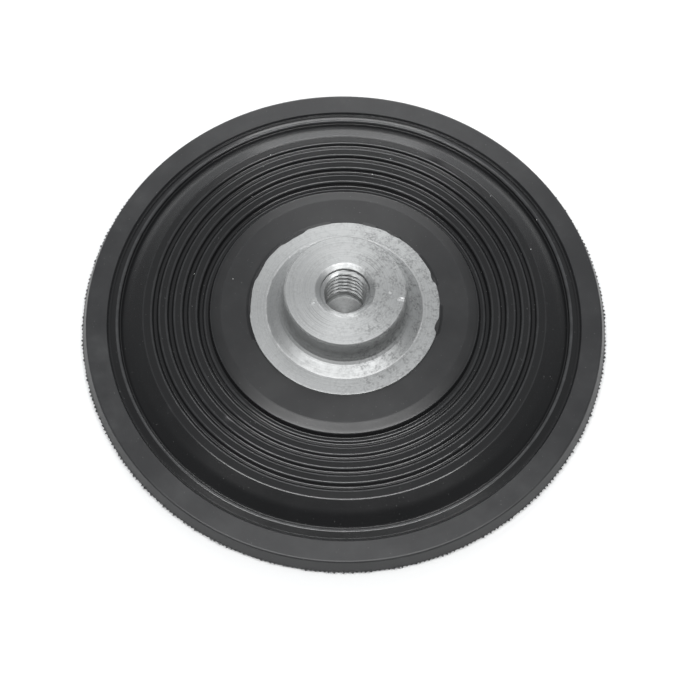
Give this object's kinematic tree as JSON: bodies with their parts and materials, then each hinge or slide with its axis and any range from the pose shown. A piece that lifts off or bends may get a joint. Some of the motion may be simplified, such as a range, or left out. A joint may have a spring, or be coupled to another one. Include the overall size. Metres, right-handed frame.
{
  "type": "pump diaphragm",
  "caption": "Round moulded rubber pump diaphragm with a clamping rim, a rolling trough, concentric ribs and a bonded aluminium insert with a tapped boss.",
  "frame": {"origin": "centre of the back face, which the diaphragm lies on", "axes": "+Z along the diaphragm's axis, out of the tapped boss"},
  "size_m": [0.11, 0.11, 0.0149],
  "materials": {
    "rubber": "satin moulded black rubber",
    "aluminium": "turned and tumbled aluminium, slightly dulled"
  },
  "bodies": {
    "root": {"rubber_membrane": "rubber", "threaded_insert": "aluminium"}
  },
  "joints": []
}
